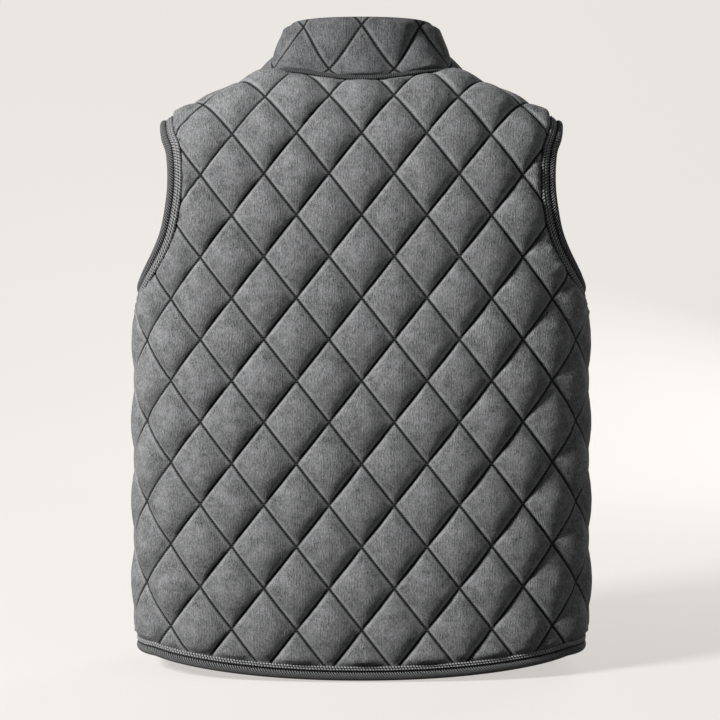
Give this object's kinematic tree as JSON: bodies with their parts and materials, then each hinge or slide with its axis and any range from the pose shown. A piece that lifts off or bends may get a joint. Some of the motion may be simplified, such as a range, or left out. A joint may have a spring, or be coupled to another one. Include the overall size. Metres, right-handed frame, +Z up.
{
  "type": "quilted vest",
  "caption": "Hollow quilted corduroy vest with a stand collar, corded neck seam, bound hem and armholes and a front zip, filled out as if worn.",
  "frame": {"origin": "middle of the neck opening, level with the top of the shoulder seams at the neck, where the wearer's neck and shoulders hold the vest", "axes": "+Z up, -Y out of the vest's front, +X towards the wearer's left"},
  "size_m": [0.4942, 0.2363, 0.6964],
  "materials": {
    "quilted_cord": "fine-wale grey corduroy, brushed nap",
    "cord_trim": "grey corded braid and rolled binding",
    "zip_tape": "dark grey woven zip tape",
    "zip_metal": "dull nickel"
  },
  "bodies": {
    "vest": {"back": "quilted_cord", "front_left": "quilted_cord", "front_right": "quilted_cord", "collar": "quilted_cord", "neck_piping": "cord_trim", "armhole_binding_left": "cord_trim", "armhole_binding_right": "cord_trim", "hem_binding": "cord_trim", "zip_tapes_and_chain": "zip_tape", "zip_slider": "zip_metal"},
    "pull": {"zip_pull": "zip_metal"}
  },
  "joints": [
    {"name": "pull_swing", "type": "hinge", "parent": "vest", "child": "pull", "pos_m": [0, -0.08712, -0.02574], "axis": [-1, 0, 0], "range_deg": [0, 160]}
  ]
}
